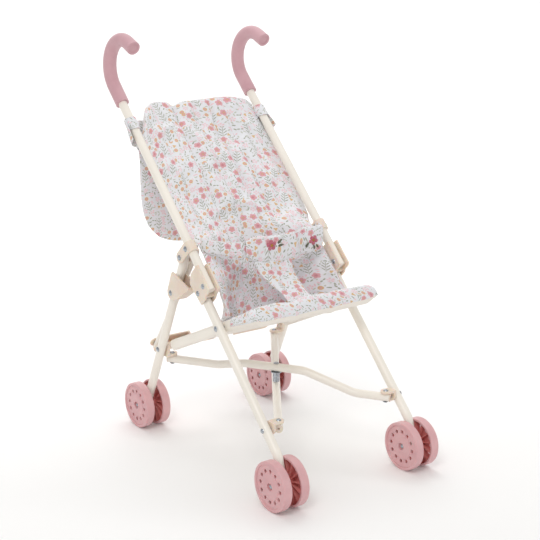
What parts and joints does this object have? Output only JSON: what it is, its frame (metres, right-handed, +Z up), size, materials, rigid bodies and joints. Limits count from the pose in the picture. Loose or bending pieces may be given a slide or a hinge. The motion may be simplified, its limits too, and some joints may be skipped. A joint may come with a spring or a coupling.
{
  "type": "doll stroller",
  "caption": "Folding doll stroller with hooked foam grips, twin plastic wheels, a scissor brace and a padded floral cloth seat with lap belt and rear pouch.",
  "frame": {"origin": "on the floor under the middle of the bounding box", "axes": "+Z up, the front faces -Y, +X to the right of a viewer who faces the front"},
  "size_m": [0.2488, 0.4456, 0.544],
  "materials": {
    "cream_tube": "satin cream paint",
    "peach_plastic": "satin, slightly translucent",
    "pink_foam": "smooth matte foam",
    "pink_wheel": "satin moulded plastic",
    "zinc_steel": "bright zinc plate",
    "floral_cloth": "printed cotton, small florals"
  },
  "bodies": {
    "left_frame": {"handle_tube_left": "cream_tube", "grip_left": "pink_foam", "handle_clamp_left": "peach_plastic", "leg_bracket_left": "peach_plastic", "front_leg_left": "cream_tube", "seat_rail_left": "cream_tube", "frame_rivets_left": "zinc_steel", "front_axle_left": "zinc_steel", "seat_back": "floral_cloth", "seat_pan": "floral_cloth", "crotch_strap": "floral_cloth", "lap_belt_left": "floral_cloth", "lap_belt_right": "floral_cloth", "rear_bag": "floral_cloth", "top_loop_left": "floral_cloth"},
    "right_frame": {"handle_tube_right": "cream_tube", "grip_right": "pink_foam", "handle_clamp_right": "peach_plastic", "leg_bracket_right": "peach_plastic", "front_leg_right": "cream_tube", "seat_rail_right": "cream_tube", "frame_rivets_right": "zinc_steel", "front_axle_right": "zinc_steel", "top_loop_right": "floral_cloth"},
    "rear_leg_left": {"rear_leg_left": "cream_tube", "leg_cradle_left": "peach_plastic", "rear_stay_left": "cream_tube", "rear_rivets_left": "zinc_steel", "rear_axle_left": "zinc_steel"},
    "rear_leg_right": {"rear_leg_right": "cream_tube", "leg_cradle_right": "peach_plastic", "rear_stay_right": "cream_tube", "rear_rivets_right": "zinc_steel", "rear_axle_right": "zinc_steel"},
    "front_swivel_left": {"front_swivel_left": "peach_plastic"},
    "front_swivel_right": {"front_swivel_right": "peach_plastic"},
    "rear_swivel_left": {"rear_swivel_left": "peach_plastic", "rear_pin_left": "zinc_steel"},
    "rear_swivel_right": {"rear_swivel_right": "peach_plastic", "rear_pin_right": "zinc_steel"},
    "brace_lower": {"brace_lower": "cream_tube", "brace_plugs_lower": "peach_plastic", "front_pin_left": "zinc_steel", "centre_sleeve": "zinc_steel"},
    "brace_upper": {"brace_upper": "cream_tube", "brace_plugs_upper": "peach_plastic", "front_pin_right": "zinc_steel", "centre_rivet": "zinc_steel"},
    "strut_left": {"strut_left": "peach_plastic", "strut_rivet_left": "zinc_steel"},
    "strut_right": {"strut_right": "peach_plastic", "strut_rivet_right": "zinc_steel"},
    "wheel_front_left_outer": {"wheel_front_left_outer": "pink_wheel"},
    "wheel_front_left_inner": {"wheel_front_left_inner": "pink_wheel"},
    "wheel_front_right_inner": {"wheel_front_right_inner": "pink_wheel"},
    "wheel_front_right_outer": {"wheel_front_right_outer": "pink_wheel"},
    "wheel_rear_left_outer": {"wheel_rear_left_outer": "pink_wheel"},
    "wheel_rear_left_inner": {"wheel_rear_left_inner": "pink_wheel"},
    "wheel_rear_right_inner": {"wheel_rear_right_inner": "pink_wheel"},
    "wheel_rear_right_outer": {"wheel_rear_right_outer": "pink_wheel"}
  },
  "joints": [
    {"name": "front_tilt_left", "type": "hinge", "parent": "left_frame", "child": "front_swivel_left", "pos_m": [-0.1055, -0.158, 0.0905], "axis": [1, 0, 0], "range_deg": [0, 5.81]},
    {"name": "fold", "type": "hinge", "parent": "front_swivel_left", "child": "brace_lower", "pos_m": [-0.0868, -0.158, 0.0905], "axis": [0, 0, 1], "range_deg": [0, 24.83], "deforming": ["seat_back", "seat_pan", "crotch_strap", "lap_belt_left", "lap_belt_right", "rear_bag"]},
    {"name": "scissor", "type": "hinge", "parent": "brace_lower", "child": "brace_upper", "pos_m": [0, -0.0336, 0.1], "axis": [0, 0, 1], "range_deg": [-49.66, 0]},
    {"name": "front_swing_right", "type": "hinge", "parent": "brace_upper", "child": "front_swivel_right", "pos_m": [0.0868, -0.158, 0.0905], "axis": [0, 0, 1], "range_deg": [0, 24.83]},
    {"name": "front_tilt_right", "type": "hinge", "parent": "front_swivel_right", "child": "right_frame", "pos_m": [0.1055, -0.158, 0.0905], "axis": [1, 0, 0], "range_deg": [-5.81, 0]},
    {"name": "rear_swing_right", "type": "hinge", "parent": "brace_lower", "child": "rear_swivel_right", "pos_m": [0.0868, 0.0908, 0.1055], "axis": [0, 0, 1], "range_deg": [-24.83, 0]},
    {"name": "rear_swing_left", "type": "hinge", "parent": "brace_upper", "child": "rear_swivel_left", "pos_m": [-0.0868, 0.0908, 0.1055], "axis": [0, 0, 1], "range_deg": [0, 24.83]},
    {"name": "rear_leg_swing_left", "type": "hinge", "parent": "left_frame", "child": "rear_leg_left", "pos_m": [-0.1055, 0.02505, 0.26914], "axis": [1, 0, 0], "range_deg": [0, 19.64]},
    {"name": "rear_leg_swing_right", "type": "hinge", "parent": "right_frame", "child": "rear_leg_right", "pos_m": [0.1055, 0.02505, 0.26914], "axis": [1, 0, 0], "range_deg": [0, 19.64]},
    {"name": "strut_fold_left", "type": "hinge", "parent": "rear_leg_left", "child": "strut_left", "pos_m": [-0.091, 0.1247, 0.117], "axis": [0, -0.8365, -0.5479], "range_deg": [0, 70.25]},
    {"name": "strut_fold_right", "type": "hinge", "parent": "rear_leg_right", "child": "strut_right", "pos_m": [0.091, 0.1247, 0.117], "axis": [0, 0.8365, 0.5479], "range_deg": [0, 70.25]},
    {"name": "roll_front_left_outer", "type": "hinge", "parent": "left_frame", "child": "wheel_front_left_outer", "pos_m": [-0.1184, -0.191, 0.032], "axis": [1, 0, 0], "continuous": true},
    {"name": "roll_front_left_inner", "type": "hinge", "parent": "left_frame", "child": "wheel_front_left_inner", "pos_m": [-0.0926, -0.191, 0.032], "axis": [1, 0, 0], "continuous": true},
    {"name": "roll_front_right_inner", "type": "hinge", "parent": "right_frame", "child": "wheel_front_right_inner", "pos_m": [0.0926, -0.191, 0.032], "axis": [1, 0, 0], "continuous": true},
    {"name": "roll_front_right_outer", "type": "hinge", "parent": "right_frame", "child": "wheel_front_right_outer", "pos_m": [0.1184, -0.191, 0.032], "axis": [1, 0, 0], "continuous": true},
    {"name": "roll_rear_left_outer", "type": "hinge", "parent": "rear_leg_left", "child": "wheel_rear_left_outer", "pos_m": [-0.1184, 0.1295, 0.032], "axis": [1, 0, 0], "continuous": true},
    {"name": "roll_rear_left_inner", "type": "hinge", "parent": "rear_leg_left", "child": "wheel_rear_left_inner", "pos_m": [-0.0926, 0.1295, 0.032], "axis": [1, 0, 0], "continuous": true},
    {"name": "roll_rear_right_inner", "type": "hinge", "parent": "rear_leg_right", "child": "wheel_rear_right_inner", "pos_m": [0.0926, 0.1295, 0.032], "axis": [1, 0, 0], "continuous": true},
    {"name": "roll_rear_right_outer", "type": "hinge", "parent": "rear_leg_right", "child": "wheel_rear_right_outer", "pos_m": [0.1184, 0.1295, 0.032], "axis": [1, 0, 0], "continuous": true}
  ],
  "couplings": [
    {"joint": "front_tilt_left", "follows": "fold", "ratio": 0.23399},
    {"joint": "scissor", "follows": "fold", "ratio": -2},
    {"joint": "front_swing_right", "follows": "fold", "ratio": 1},
    {"joint": "front_tilt_right", "follows": "fold", "ratio": -0.23399},
    {"joint": "rear_swing_right", "follows": "fold", "ratio": -1},
    {"joint": "rear_swing_left", "follows": "fold", "ratio": 1},
    {"joint": "rear_leg_swing_left", "follows": "fold", "ratio": 0.79098},
    {"joint": "rear_leg_swing_right", "follows": "fold", "ratio": 0.79098},
    {"joint": "strut_fold_left", "follows": "fold", "ratio": 2.8292},
    {"joint": "strut_fold_right", "follows": "fold", "ratio": 2.8292}
  ]
}
